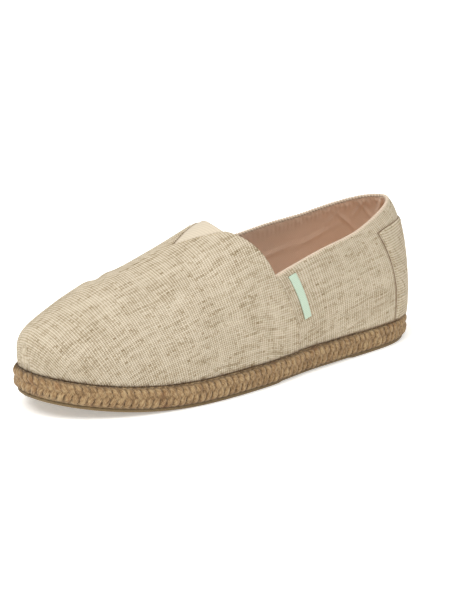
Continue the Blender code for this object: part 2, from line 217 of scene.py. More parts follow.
def surface(name, grids, material, thickness=0.0, weld=WELD):
    """Piece from one or more grids, seams welded, with the thickness of its cloth inwards.

    A grid is points (columns, rows, 3), their places on the cloth (columns, rows, 2) in metres and a
    darkness of painted shade (columns, rows) from 0 to 1. Its faces look along rows x columns.
    """
    points, quads, places, darkness = [], [], [], []
    first = 0
    for grid, place, dark in grids:
        columns, rows = grid.shape[:2]
        numbers = np.arange(columns * rows).reshape(columns, rows)
        corners = (numbers[:-1, :-1], numbers[:-1, 1:], numbers[1:, 1:], numbers[1:, :-1])
        faces = np.stack(corners, -1).reshape(-1, 4)
        points.append(grid.reshape(-1, 3))
        quads.append(faces + first)
        places.append(place.reshape(-1, 2)[faces].reshape(-1, 2))
        darkness.append(np.broadcast_to(dark, (columns, rows)).ravel())
        first += columns * rows
    mesh = bpy.data.meshes.new(name)
    mesh.from_pydata(np.concatenate(points).tolist(), [], np.concatenate(quads).tolist())
    mesh.uv_layers.new(name="weave").data.foreach_set("uv", np.concatenate(places).ravel())
    mesh.attributes.new("shade", "FLOAT", "POINT").data.foreach_set("value", np.concatenate(darkness))
    welded = bmesh.new()
    welded.from_mesh(mesh)
    bmesh.ops.remove_doubles(welded, verts=welded.verts, dist=weld)
    welded.to_mesh(mesh)
    welded.free()
    mesh.materials.append(material)
    mesh.shade_smooth()
    piece = bpy.data.objects.new(name, mesh)
    bpy.context.scene.collection.objects.link(piece)
    if thickness:
        cloth = piece.modifiers.new("cloth", "SOLIDIFY")
        cloth.thickness = thickness
        cloth.offset = -1.0
    return piece


def fasten(piece, solid):
    """The piece moves with the shoe and stands for a CAD solid, which it hides."""
    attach(piece, "root")
    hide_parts(solid)


def slab(edge, profile, low, high, columns):
    """Grid over a flat piece: on each rung across it, a profile of (way out, inset, height share).

    The way out runs from the middle line (0) to the edge (1). Places are plan positions.
    """
    turn = np.linspace(0.0, 2 * math.pi, columns + 1)
    rings = []
    for way, inset, height in profile:
        x, y = edge(turn, inset)
        middle = (x + edge(-turn, inset)[0]) / 2
        rings.append(np.stack([middle + (x - middle) * way, y, low(y) + (high(y) - low(y)) * height], -1))
    points = np.stack(rings, 1)
    return points, points[..., :2], 0.0


def summed(node, start, *patterns):
    """Start plus the patterns, each times its weight."""
    for pattern, weight in patterns:
        start = node("Math", {0: pattern, 1: weight, 2: start}, operation="MULTIPLY_ADD")[0]
    return start


def finish(node, relief, depth, strength, inputs):
    """Ends a material: a shader with its inputs and a relief of a depth in metres, drawn at a strength."""
    bump = node("Bump", {"Height": relief, "Distance": depth, "Strength": strength})
    shader = node("BsdfPrincipled", {"Normal": bump[0], **inputs})
    node("OutputMaterial", {"Surface": shader[0]})


def vulcanised_rubber(node):
    """Brown sole rubber from a ribbed mould: matt, with pale dust in its grain."""
    place = node("TexCoord")["Object"]
    grain = node("TexNoise", {"Vector": place, "Scale": 1 / 0.0012, "Detail": 4.0})[0]
    ribs = node("TexWave", {"Vector": place, "Scale": BAND / RIB_PITCH}, bands_direction="Y")["Fac"]
    height = summed(node, ribs, (grain, 0.25))
    colour = node("Mix", {0: grain, 6: linear("#665336"), 7: linear("#836D49")}, data_type="RGBA")[2]
    finish(node, height, 0.0003, 0.6, {"Base Color": colour, "Roughness": 0.72, "IOR": 1.52})


def tread(y):
    """Underside of the rubber: on the floor at the pads, a little above it between them."""
    at = 0.5 - y / SOLE_LENGTH
    behind = np.clip((at - HEEL_PAD_END) / PAD_STEP, 0.0, 1.0)
    ahead = np.clip((FOREPART_PAD_START - at) / PAD_STEP, 0.0, 1.0)
    return spring(y) + WAIST_RECESS * behind * ahead


def rubber_top(y):
    """Height of the rubber's upper face."""
    return RUBBER_THICKNESS + spring(y)


edge_share = RUBBER_EDGE / RUBBER_THICKNESS
rounded_edge = [
    (1.0, RUBBER_INSET + RUBBER_EDGE * (1 - math.sin(angle)), edge_share * (1 - math.cos(angle)))
    for angle in np.linspace(0.0, math.pi / 2, 4)
]
rubber_profile = [(0.0, RUBBER_INSET, 0.0), (0.6, RUBBER_INSET, 0.0), *rounded_edge,
                  (1.0, RUBBER_INSET, 1.0), (0.0, RUBBER_INSET, 1.0)]
sheet = slab(sole_edge, rubber_profile, tread, rubber_top, SOLE_STEPS)
outsole = surface("rubber_outsole", [sheet], made(vulcanised_rubber))
fasten(outsole, "outsole_rubber")

# Jute rope sole
# Three strands of loosely spun jute are plaited into a flat band. The band is wound into the sole's
# shape standing on its edge, so that its outermost turn shows the plait all round.
JUTE_THICKNESS = 0.0123
GAP = 0.0003                   # between pieces that are glued together
PLAITS = 49                    # whole repeats of the plait round the sole
STRAND_STEPS = 22              # points of a strand in one repeat
STRAND_SIDES = 10
STRAND_HALF_WIDTH = 0.0020
STRAND_HALF_DEPTH = 0.0012
STRAND_SWING = JUTE_THICKNESS / 2 - STRAND_HALF_WIDTH
STRAND_WEAVE = 0.0008          # in and out of the band
CORE_INSET = 0.0026
FRAY = 0.00030                 # unevenness of the strands' way
SWELLING = 0.13                # and of their thickness, as a share of it
JUTE_EDGE_SHADE = 0.0008             # reach of the painted shade at the band's two edges


def jute_top(y):
    """Height of the jute's upper face."""
    return rubber_top(y) + JUTE_THICKNESS


def uneven(x, y, seed):
    """Soft unevenness from -1 to 1: three sines with paces that don't match."""
    first, second = np.sin(x + 1.7 * seed), np.sin(1.71 * y - 0.6 * x + seed)
    return (first + second + np.sin(2.37 * x + 1.13 * y + 4 * seed)) / 3


def smooth(q):
    """0 to 1 with level ends."""
    q = np.clip(q, 0.0, 1.0)
    return q * q * (3 - 2 * q)


def ditch(distance, width):
    """1 at a line and 0 away from it, as a bell of the distance."""
    return np.exp(-(distance / width) ** 2)


def unit(vectors):
    """Vectors made 1 long."""
    return vectors / np.maximum(np.linalg.norm(vectors, axis=-1, keepdims=True), 1e-12)


def length_along(grid, axis):
    """Length run along a grid's columns (0) or rows (1) from its first one."""
    steps = np.linalg.norm(np.diff(grid, axis=axis), axis=-1)
    return np.concatenate([np.zeros_like(steps.take([0], axis)), np.cumsum(steps, axis)], axis)


def tube(centre, out, half_width, half_depth, sides):
    """Grid round a centre line: an ellipse of half_depth along out and half_width across it."""
    across = unit(np.cross(np.gradient(centre, axis=0), out))
    angle = np.linspace(0.0, 2 * math.pi, sides + 1)[None]
    width, depth = (np.broadcast_to(half, centre.shape[:1])[:, None] for half in (half_width, half_depth))
    ring = (depth * np.cos(angle))[..., None] * out[:, None]
    ring = ring + (width * np.sin(angle))[..., None] * across[:, None]
    around = angle * (width + depth) / 2
    places = np.stack([length_along(centre, 0)[:, None] + 0 * around, around], -1)
    return centre[:, None] + ring, places


def strand(number):
    """One strand of the plait. It swings over the band's height as a sine of the way round, and in and
    out of the band as a sine at twice that pace, a third of a repeat after the strand before."""
    fine = np.linspace(0.0, 2 * math.pi, 6001)
    x, y = sole_edge(fine, 0.0)
    run = length_along(np.stack([x, y], -1), 0)
    step = np.linspace(0.0, 1.0, PLAITS * STRAND_STEPS + 1)
    turn = np.interp(step * run[-1], run, fine)
    phase = 2 * math.pi * (PLAITS * step + number / 3)
    out_x, out_y = (np.interp(turn, fine, np.gradient(side)) for side in (-y, x))
    out = unit(np.stack([out_x, out_y, 0 * turn], -1))
    x, y = sole_edge(turn, 0.0)
    wobble = FRAY * uneven(41 * turn, 7 * np.sin(2 * turn), 3 * number + 1)
    thick = 1 + SWELLING * uneven(67 * turn, 11 * np.cos(3 * turn), number + 2)
    inset = STRAND_HALF_DEPTH + STRAND_WEAVE * (1 - np.sin(2 * phase)) - wobble
    height = rubber_top(y) + JUTE_THICKNESS / 2 + STRAND_SWING * np.sin(phase)
    centre = np.stack([x, y, height], -1) - out * inset[:, None]
    points, places = tube(centre, out, STRAND_HALF_WIDTH * thick, STRAND_HALF_DEPTH * thick, STRAND_SIDES)
    points[[0, -1]] = (points[0] + points[-1]) / 2
    y, z = points[..., 1], points[..., 2]
    # Painted shade: darker at the band's top and bottom edges, on the sides of each strand that turn away,
    # and where a strand lies behind the others.
    at_edges = ditch(np.minimum(jute_top(y) - z, z - rubber_top(y)), JUTE_EDGE_SHADE)
    behind = np.einsum("ijk,ik->ij", centre[:, None] + out[:, None] * STRAND_HALF_DEPTH - points, out)
    dark = np.maximum(0.7 * at_edges, 0.65 * smooth(behind / STRAND_HALF_DEPTH - 0.4))
    dark = np.maximum(dark, 0.45 * smooth(0.3 - np.sin(2 * phase))[:, None])
    return points, places, dark


def graded(ramp, stops):
    """Fills the colour ramp that an output comes from with (position, colour) stops."""
    elements = ramp.node.color_ramp.elements
    for _ in stops[2:]:
        elements.new(0.5)
    for stop, (at, colour) in zip(elements, stops):
        stop.position = at
        stop.color = linear(colour)
    return ramp


def shaded(node, colour, dark):
    """Colour that turns to a dark one, painted shade, where the piece's shade attribute rises to 1."""
    shade = node("Attribute", attribute_name="shade")["Fac"]
    return node("Mix", {0: shade, 6: colour, 7: linear(dark)}, data_type="RGBA")[2]


def spun_jute(node):
    """Loosely spun jute, undyed: coarse dull fibres that wind along the strand, from straw to dark bark."""
    place = node("UVMap", uv_map="weave")[0]
    room = node("TexCoord")["Object"]
    wound = {"Rotation": (0.0, 0.0, math.radians(-18)), "Scale": (1 / 0.004, 1 / 0.00035, 1.0)}
    wound = node("Mapping", {"Vector": place, **wound})[0]
    fibres = {"Vector": wound, "Scale": 1.0, "Detail": 3.0, "Roughness": 0.6}
    fibre = node("TexNoise", fibres, noise_dimensions="2D")[0]
    lump = node("TexNoise", {"Vector": room, "Scale": 1 / 0.006, "Detail": 2.0})[0]
    speck = node("TexNoise", {"Vector": room, "Scale": 1 / 0.0014, "Detail": 2.0})[0]
    blend = summed(node, 0.0, (fibre, 0.55), (lump, 0.25), (speck, 0.30))
    stops = ((0.34, "#4A341C"), (0.45, "#755A39"), (0.54, "#917450"), (0.66, "#AD946D"))
    colour = graded(node("ValToRGB", {0: blend})[0], stops)
    bark = node("TexNoise", {"Vector": room, "Scale": 1 / 0.011, "Detail": 1.0})[0]
    bark = node("MapRange", {0: bark, 1: 0.60, 2: 0.72, 3: 0.0, 4: 0.4})[0]
    colour = node("Mix", {0: bark, 6: colour, 7: linear("#7A4A24")}, data_type="RGBA")[2]
    colour = shaded(node, colour, "#2A1C0F")
    height = node("Math", {0: fibre, 1: speck}, operation="ADD")[0]
    finish(node, height, 0.0004, 0.7, {"Base Color": colour, "Roughness": 0.92, "Sheen Weight": 0.1})


jute = made(spun_jute)
plait = surface("jute_plait", [strand(number) for number in range(3)], jute)
fasten(plait, "midsole_jute")

core_corners = ((0.0, 0.0), (1.0, 0.0), (1.0, 1.0), (0.0, 1.0))
core_profile = [(way, CORE_INSET, height) for way, height in core_corners]
coil = slab(sole_edge, core_profile, rubber_top, lambda y: jute_top(y) - GAP, SOLE_STEPS)
core = surface("jute_coil", [coil], jute)
fasten(core, "midsole_jute")

# Canvas quarters
# Two quarters of natural slub canvas, linen and jute yarn in a plain weave. They are stretched over a
# wooden last, meet behind the heel under the counter patch, and run forwards under the vamp. The other
# cloth pieces are shaped over the same last.
INSTEP_RISE = 0.0632
BACK_HEIGHT = 0.0652
BULGE_HEIGHT = 0.0147
LAP = 0.0008                   # step from the quarters up to the vamp
HEEL_OVERHANG = 0.0004         # of the canvas past the sole
TOE_LEDGE = 0.0023             # of the sole past the canvas
TUCK = 0.0010                  # how far the canvas is drawn in at its foot
SEAM_SHARE = 0.443             # where the vamp's seam meets the collar
SEAM_LEAN = 0.040              # share by which its foot lies nearer the heel
SEAM_REACH = 0.12              # share over which the cloth beside it leans too
MEDIAL_LIFT = 0.0027           # the collar is higher on the inner side
MEDIAL_LIFT_FULL = 0.14        # share from which it is, in full
LAST = (
    # sections of the last: share, crest / instep rise, roundness across, roundness at the end,
    # crest off centre / half width, widest line / bulge height
    (0.00, 1.043, 1.80, 5.5, 0.000, 1.00),
    (0.16, 1.035, 1.80, 6.2, 0.000, 0.87),
    (0.34, 1.128, 2.00, 7.0, 0.000, 0.74),
    (0.515, 1.000, 2.08, 7.0, -0.073, 0.68),
    (0.62, 0.881, 1.86, 6.0, -0.073, 0.61),
    (0.72, 0.733, 1.86, 5.1, -0.073, 0.62),
    (0.82, 0.625, 1.86, 4.2, -0.058, 0.63),
    (0.92, 0.452, 1.86, 3.8, -0.044, 0.63),
    (1.00, 0.337, 1.86, 3.8, 0.000, 0.64),
)
CREST, ACROSS, AT_END, OFF_CENTRE, WIDEST = range(1, 6)
TOPLINE = (
    # share, height above the jute / back height
    (0.00, 1.022),
    (0.14, 0.879),
    (0.28, 0.813),
    (0.36, 0.761),
    (0.45, 0.699),
    (0.60, 0.534),
)
CREST_MEETS = (
    # share on the edge, share on the crest that a line over the cloth runs to
    (0.0, 0.14),
    (SEAM_SHARE, 0.56),
    (1.0, 0.86),
)
LAST_CENTRE = (HEEL_OVERHANG + TOE_LEDGE) / 2
SKIRT = 6                      # rows of a wall's grid below the widest line
WALL_ROWS = 35                 # and from there up
HALVINGS = 26                  # in the search for an angle
CLOTH = 0.0007                 # one layer of canvas
UNDER_LAP_SHARE = 0.016        # share of the length that runs on under the vamp
STREAK_RISE = math.tan(math.radians(9.5))       # of the lengthwise yarn, towards the heel
THREAD = 0.00105               # spacing of the threads across the cloth
PICK = 0.00155                 # spacing of the threads along it
SLUB_LENGTH = 0.013            # of a dark thick place in a lengthwise thread
CROSS_SLUB_LENGTH = 0.016      # of a pale one in a crosswise thread
STREAK_LENGTH = 0.035          # over which a lengthwise thread changes its tone
SWAY = 0.0022                  # how far the threads stray from straight
THREADS_APART = 7.73           # from a thread to the next in a noise, so that neighbours differ
PATCH_SHARE = 0.092
PATCH_BELOW_TOPLINE = 0.0075   # at its corners
PATCH_DIP = 0.0055             # more behind the heel
PATCH_SHADOW = 0.0006          # half width of the painted shadow line outside the patch's edges
PATCH_FADING = (0.2, 0.0022, 0.003)         # its unevenness: amount, and lengths up and along
FOOT_SHADOW = 0.0013           # height of the painted shadow line where the canvas meets the jute
LINE_BLUR = 0.0005             # of its upper side
FOOT_TEETH = 0.0011            # length of its ups and downs
FOOT_FADING = 0.009            # and of its darker and paler stretches
QUARTER_ROOM = 0.0003          # inwards, up to the lining
QUARTER_SLACK = (0.00015, 0.011, 0.014)     # depth and lengths of its soft waves
ROW_AT_PATCH = SKIRT + 32      # of the quarters' grid, along the patch's top edge
QUARTER_CREASES = (
    # from the heel, up the wall, direction, half length, half width, depth
    (104, 34, 72, 14, 4.5, 0.35),
    (86, 20, 60, 12, 5.0, 0.30),
    (64, 44, 80, 12, 5.0, 0.30),
    (47, 22, 75, 14, 5.0, 0.30),
    (118, 12, 40, 10, 3.5, 0.30),
)


def turn_at(at, side):
    """Turn at a share of the length; side is 1 outside, -1 inside."""
    return side * np.arccos(1 - 2 * np.clip(at, 0.0, 1.0))


def side_of(turn):
    """1 on the outer side, -1 on the inner side."""
    return np.where(np.sin(turn) < 0, -1, 1)


def last_reach(depth):
    """Half length of the last at its widest line."""
    return (SOLE_LENGTH + HEEL_OVERHANG - TOE_LEDGE) / 2 - depth


def last_half(at, depth):
    """Half width of the last at its widest line."""
    ledge = -HEEL_OVERHANG + (HEEL_OVERHANG + TOE_LEDGE) * smooth(2 * at)
    return BALL_WIDTH * curve(OUTLINE, 2, at) - ledge - depth


def last_edge(turn, depth):
    """Widest line of the last in plan."""
    at = share(turn)
    x = SOLE_LENGTH * curve(OUTLINE, 1, at) + np.sin(turn) * last_half(at, depth)
    return x, LAST_CENTRE + last_reach(depth) * np.cos(turn)


def crest_x(at):
    """Crest line of the last in plan, a little to the inner side."""
    across = np.sin(turn_at(at, 1)) * last_half(at, 0.0)
    return SOLE_LENGTH * curve(OUTLINE, 1, at) + across * curve(LAST, OFF_CENTRE, at)


def crest_y(at):
    """Place of the crest's line along the shoe."""
    return LAST_CENTRE + last_reach(0.0) * (1 - 2 * at)


def last_height(x, y, depth):
    """Height of the last over a place in plan: a superellipse across, closed by one at both ends."""
    along = np.clip((y - LAST_CENTRE) / last_reach(depth), -1.0, 1.0)
    at = (1 - along) / 2
    half = np.sqrt(np.maximum(1 - along ** 2, 1e-12)) * last_half(at, depth)
    across = np.clip((x - SOLE_LENGTH * curve(OUTLINE, 1, at)) / half, -1.0, 1.0)
    middle = curve(LAST, OFF_CENTRE, at)
    to_edge = np.where(across > middle, 1 - middle, 1 + middle)
    from_crest = np.clip(np.abs(across - middle) / to_edge, 0.0, 1.0)
    power, end_power = curve(LAST, ACROSS, at), curve(LAST, AT_END, at)
    closing = (1 - np.abs(along) ** end_power) ** (1 / end_power)
    crest = (INSTEP_RISE * curve(LAST, CREST, at) - depth) * closing
    arch = (1 - from_crest ** power) ** (1 / power)
    return jute_top(y) + BULGE_HEIGHT * curve(LAST, WIDEST, at) + crest * arch


def over_last(turn, angle, depth):
    """Point on the last: angle 0 at the widest line, pi / 2 on the crest."""
    meets = curve(CREST_MEETS, 1, share(turn))
    edge_x, edge_y = last_edge(turn, depth)
    x = crest_x(meets) + (edge_x - crest_x(meets)) * np.cos(angle)
    y = crest_y(meets) + (edge_y - crest_y(meets)) * np.cos(angle)
    return np.stack([x, y, last_height(x, y, depth)], -1)


def under_bulge(turn, drop, depth):
    """Point below the widest line, drawn in towards the jute as a quarter circle of the drop (0 to 1)."""
    x, y = last_edge(turn, depth + TUCK * (1 - np.cos(drop * math.pi / 2)))
    bulge = BULGE_HEIGHT * curve(LAST, WIDEST, share(turn))
    return np.stack([x, y, jute_top(y) + bulge * (1 - np.sin(drop * math.pi / 2))], -1)


def first_angle(reached, turn):
    """Smallest angle over the last, for each turn, at which reached(angle) is true, by halving."""
    low, high = np.zeros_like(turn), np.full_like(turn, math.pi / 2)
    for _ in range(HALVINGS):
        middle = (low + high) / 2
        there = reached(middle)
        low, high = np.where(there, low, middle), np.where(there, middle, high)
    return high


def topline_angle(turn, below=0.0):
    """Angle over the last at which the collar's edge lies, or a line below it."""
    at = np.minimum(share(turn), SEAM_SHARE)
    lift = np.where(np.sin(turn) < 0, MEDIAL_LIFT * smooth(at / MEDIAL_LIFT_FULL), 0.0)
    height = RUBBER_THICKNESS + JUTE_THICKNESS + BACK_HEIGHT * curve(TOPLINE, 1, at) + lift - below
    on_quarter = turn_at(at, side_of(turn))
    return first_angle(lambda angle: over_last(on_quarter, angle, LAP)[..., 2] > height, turn)


def leaned(turn, rise):
    """Turn moved along so that the seam's foot lies nearer the heel; rise is 1 at the topline."""
    at = share(turn)
    moved = at - SEAM_LEAN * (1 - rise) * np.exp(-((at - SEAM_SHARE) / SEAM_REACH) ** 2)
    return turn_at(moved, side_of(turn))


def wall(turn, top_angle, depth, rises=np.linspace(0.0, 1.0, WALL_ROWS)):
    """Grid up the wall from the foot of the canvas to an angle over the last, a column for each turn.

    The rises of its rows run from 0 at the widest line to 1 at that angle, for all columns or for each.
    """
    below = [under_bulge(leaned(turn, 0.0), drop, depth) for drop in np.linspace(1.0, 0.0, SKIRT + 1)[:-1]]
    rises = np.broadcast_to(rises, (len(turn), np.shape(rises)[-1]))
    above = [over_last(leaned(turn, rise), rise * top_angle, depth) for rise in rises.T]
    return np.stack(below + above, 1)


def normals(grid):
    """Unit normals of a grid that look out of the shoe, the cross product of its row and column steps."""
    return unit(np.cross(np.gradient(grid, axis=1), np.gradient(grid, axis=0)))


def pushed(grid, amount):
    """Grid moved outwards along its normals."""
    return grid + normals(grid) * amount[..., None]


def creased(place, table):
    """Soft creases on the cloth: each is a trough between two low ridges, fading towards its ends.

    A row of the table is the middle (two places), its direction in degrees, half length, half width and
    depth, in millimetres.
    """
    amount = np.zeros(place.shape[:-1])
    for first, second, direction, length, width, depth in table:
        away = place * 1000 - (first, second)
        heading = math.radians(direction)
        run = (away[..., 0] * math.cos(heading) + away[..., 1] * math.sin(heading)) / length
        off = (away[..., 1] * math.cos(heading) - away[..., 0] * math.sin(heading)) / width
        amount -= depth / 1000 * (1 - 2 * off ** 2) * np.exp(-off ** 2 - run ** 2)
    return amount


def slub_canvas(node):
    """Natural linen and jute canvas: plain weave with crosswise ribs, dark pores between the threads, and
    short dark slubs along it. The threads are drawn a little coarser than they are, so that they show."""
    place = node("UVMap", uv_map="weave")[0]
    sway = {"Vector": place, "Scale": 1 / 0.025, "Detail": 1.0}
    sway = node("TexNoise", sway, noise_dimensions="2D")["Color"]
    sway = node("VectorMath", {0: sway, 1: (0.5, 0.5, 0.5)}, operation="SUBTRACT")[0]
    moved = node("VectorMath", {0: sway, 1: (SWAY, SWAY, 0.0), 2: place}, operation="MULTIPLY_ADD")[0]
    threads = node("VectorMath", {0: moved, 1: (1 / THREAD, 1 / PICK, 0.0)}, operation="MULTIPLY")[0]
    cell = node("VectorMath", {0: threads}, operation="FLOOR")[0]
    numbers = node("VectorMath", {0: cell, 1: (THREADS_APART, THREADS_APART, 0.0)}, operation="MULTIPLY")[0]
    numbers = node("SeparateXYZ", {0: numbers})
    swing = node("VectorMath", {0: threads, 1: (math.pi, math.pi, 0.0)}, operation="MULTIPLY")[0]
    swing = node("VectorMath", {0: swing}, operation="SINE")[0]
    signed = node("SeparateXYZ", {0: swing})
    ridge = node("VectorMath", {0: swing}, operation="ABSOLUTE")[0]
    ridge = node("SeparateXYZ", {0: ridge})
    crossing = node("Math", {0: signed[0], 1: signed[1]}, operation="MULTIPLY")[0]
    over = node("MapRange", {0: crossing, 1: -0.7, 2: 0.7})[0]
    lengthwise = node("Math", {0: ridge[0], 1: over}, operation="MULTIPLY")[0]
    under = node("Math", {0: 1.3, 1: over}, operation="SUBTRACT")[0]
    height = node("Math", {0: ridge[1], 1: under, 2: lengthwise}, operation="MULTIPLY_ADD")[0]

    spot = node("SeparateXYZ", {0: moved})
    down = node("Math", {0: spot[1], 1: 1 / SLUB_LENGTH}, operation="MULTIPLY")[0]
    slub_place = node("CombineXYZ", {0: numbers[0], 1: down})[0]
    slub = {"Vector": slub_place, "Scale": 1.0, "Detail": 2.0, "Roughness": 0.6}
    slub = node("TexNoise", slub, noise_dimensions="2D")[0]
    slub = node("MapRange", {0: slub, 1: 0.50, 2: 0.74})[0]
    seen = node("Math", {0: over, 1: 0.4, 2: 0.6}, operation="MULTIPLY_ADD")[0]
    slub = node("Math", {0: slub, 1: seen}, operation="MULTIPLY")[0]
    far = node("Math", {0: spot[1], 1: 1 / STREAK_LENGTH}, operation="MULTIPLY")[0]
    streak_place = node("CombineXYZ", {0: numbers[0], 1: far, 2: 3.0})[0]
    streak = node("TexNoise", {"Vector": streak_place, "Scale": 1.0, "Detail": 1.0})[0]
    side = node("Math", {0: spot[0], 1: 1 / CROSS_SLUB_LENGTH}, operation="MULTIPLY")[0]
    pale_place = node("CombineXYZ", {0: side, 1: numbers[1]})[0]
    pale = node("TexNoise", {"Vector": pale_place, "Scale": 1.0, "Detail": 1.0}, noise_dimensions="2D")[0]
    knot = node("TexWhiteNoise", {"Vector": cell}, noise_dimensions="2D")[0]
    knot = node("MapRange", {0: knot, 1: 0.84, 2: 1.0})[0]
    knot = node("Math", {0: knot, 1: over}, operation="MULTIPLY")[0]
    cloud = node("TexNoise", {"Vector": place, "Scale": 1 / 0.016, "Detail": 2.0}, noise_dimensions="2D")[0]
    tone = summed(node, 0.025, (height, 0.34), (pale, 0.18), (streak, 0.26), (cloud, 0.14))
    tone = summed(node, tone, (slub, -0.19), (knot, -0.22))
    stops = ((0.20, "#6F6044"), (0.40, "#99896F"), (0.54, "#B1A38C"), (0.72, "#C8BCA7"))
    colour = graded(node("ValToRGB", {0: tone})[0], stops)
    colour = shaded(node, colour, "#53330F")

    fuzz = node("TexNoise", {"Vector": place, "Scale": 1 / 0.0005, "Detail": 2.0}, noise_dimensions="2D")[0]
    relief = summed(node, height, (fuzz, 0.3), (slub, 0.4))
    soft = {"Specular IOR Level": 0.2, "Sheen Weight": 0.1, "Sheen Tint": linear("#F0DCB4")}
    finish(node, relief, 0.00035, 0.8, {"Base Color": colour, "Roughness": 0.88, **soft})


def slack(first, second, sizes, seed):
    """Soft unevenness of cloth over two places; sizes are its depth and its lengths along both."""
    depth, first_length, second_length = sizes
    return depth * uneven(first / first_length, second / second_length, seed)


def foot_line(up, along):
    """Painted shadow line where the canvas meets the jute, of uneven height and strength along the foot."""
    height = FOOT_SHADOW * (0.6 + 0.4 * uneven(along / FOOT_TEETH, 0, 3))
    line = ditch(np.maximum(up - height, 0.0), LINE_BLUR)
    return 0.9 * line * (0.8 + 0.2 * uneven(along / FOOT_FADING, 0, 6))


patch_end = float(turn_at(PATCH_SHARE, 1))


def patch_below(turn):
    """How far the counter patch's top edge lies below the collar's edge."""
    return PATCH_BELOW_TOPLINE + PATCH_DIP * (1 - smooth(np.abs(turn) / patch_end))


quarter_end = turn_at(SEAM_SHARE + UNDER_LAP_SHARE, 1)
beside_patch = patch_end + np.array([-0.004, 0.0, 0.004, 0.007, 0.011, 0.016])
quarter_turn = np.linspace(-quarter_end, quarter_end, 261)
quarter_turn = np.sort(np.concatenate([quarter_turn, -beside_patch, beside_patch]))
quarter_top = topline_angle(quarter_turn)
patch_rise = (topline_angle(quarter_turn, patch_below(quarter_turn)) / quarter_top)[:, None]
quarter_rises = np.concatenate([
    (patch_rise - 0.04) * np.linspace(0.0, 1.0, 30),
    patch_rise + np.array([-0.020, -0.008, 0.0, 0.006, 0.011, 0.018, 0.028]),
    1 - (1 - patch_rise - 0.045) * np.linspace(1.0, 0.0, 8),
], 1)
quarter = wall(quarter_turn, quarter_top, LAP, quarter_rises)
quarter_run = length_along(quarter[:, SKIRT:SKIRT + 1], 0)
quarter_run = quarter_run - quarter_run[len(quarter_run) // 2]
from_heel = np.abs(quarter_run)
up_wall = length_along(quarter, 1)
quarter_place = np.stack([up_wall + STREAK_RISE * from_heel, from_heel + 0 * up_wall], -1)
quarter_lie = np.stack([from_heel + 0 * up_wall, up_wall], -1)
quarter_height = creased(quarter_lie, QUARTER_CREASES)
quarter_height += slack(quarter[..., 1], quarter[..., 2], QUARTER_SLACK, 2)
quarter_height = np.maximum(quarter_height, -QUARTER_ROOM)
above_patch = up_wall - up_wall[:, ROW_AT_PATCH:ROW_AT_PATCH + 1]
before_patch = from_heel - np.interp(patch_end, quarter_turn, quarter_run[:, 0])
# Painted shadow in the ditch outside the counter patch's front and top edges.
patch_line = np.maximum(
    ditch(before_patch - PATCH_SHADOW, PATCH_SHADOW) * (above_patch < 2 * PATCH_SHADOW),
    ditch(above_patch - PATCH_SHADOW, PATCH_SHADOW) * (before_patch < 2 * PATCH_SHADOW),
)
patch_line = 0.95 * patch_line * (0.8 + slack(up_wall, from_heel, PATCH_FADING, 2))
# Painted shade on the quarters: the shadow line at the foot and the one beside the patch.
quarter_dark = np.maximum(foot_line(up_wall, from_heel), patch_line)
canvas = made(slub_canvas)
quarter_skin = pushed(quarter, quarter_height)
quarters = surface("canvas_quarters", [(quarter_skin, quarter_place, quarter_dark)], canvas, CLOTH)
fasten(quarters, "upper")

# Canvas vamp
# One panel of the same canvas over the toes and the instep. Its edges are folded under and stitched over
# the quarters, and a notch at the throat holds the elastic. Its picks run straight across the foot.
THROAT_SHARE = 0.510           # of the gore's free edge
GORE_LENGTH = 0.028
GORE_WIDTH = 0.0292
FOLD = 0.0008                  # rounding of a folded edge
PICK_TRAIL = 0.2               # how far the picks are drawn back for each length down the wall
VAMP_SLACK = (0.00012, 0.012, 0.013)
SEAM_CALM = 0.006              # width beside its edges over which creases fade
PUCKER_PITCH = 0.0041          # small puckers along the foot, where it is lasted
PUCKER_DEPTH = 0.00013
PUCKER_HEIGHT = 0.004
PUCKERS_FROM_SEAM = 0.02
EDGE_SHADOW = 0.0004           # half width of the faint painted shadow line along the free edge
VAMP_CREASES = (
    # across from the crest, forwards from the throat, direction, half length, half width, depth
    (-14, 74, 20, 16, 6.0, 0.80),
    (26, 62, 65, 15, 6.0, 0.40),
    (56, 28, 100, 16, 3.5, 0.55),
    (63, 12, 115, 14, 3.0, 0.50),
    (48, 48, 85, 14, 4.0, 0.40),
    (-46, 40, 95, 16, 5.0, 0.50),
    (10, 100, 160, 12, 5.0, 0.30),
)


def share_along(y):
    """Share of the crest's line at a place along the shoe."""
    return (1 - (y - LAST_CENTRE) / last_reach(0.0)) / 2


NOTCH_POINT = SOLE_LENGTH * (0.5 - THROAT_SHARE) - GORE_LENGTH
NOTCH_SHARE = share_along(NOTCH_POINT)
NOTCH_X = float(crest_x(np.array(NOTCH_SHARE)))


def fold(distance):
    """How far a folded edge falls at a distance from it, as a quarter circle."""
    return -FOLD * (1 - np.sqrt(1 - np.clip(1 - distance / FOLD, 0.0, 1.0) ** 2))


def notch_half(y):
    """Half width of the notch for the gore."""
    return np.maximum(y - NOTCH_POINT, 0.0) * GORE_WIDTH / 2 / GORE_LENGTH


def notch_angle(turn, depth):
    """Angle over the last at which the notch's edge lies."""
    def inside(angle):
        point = over_last(turn, angle, depth)
        return np.abs(point[..., 0] - NOTCH_X) < notch_half(point[..., 1])
    return first_angle(inside, turn)


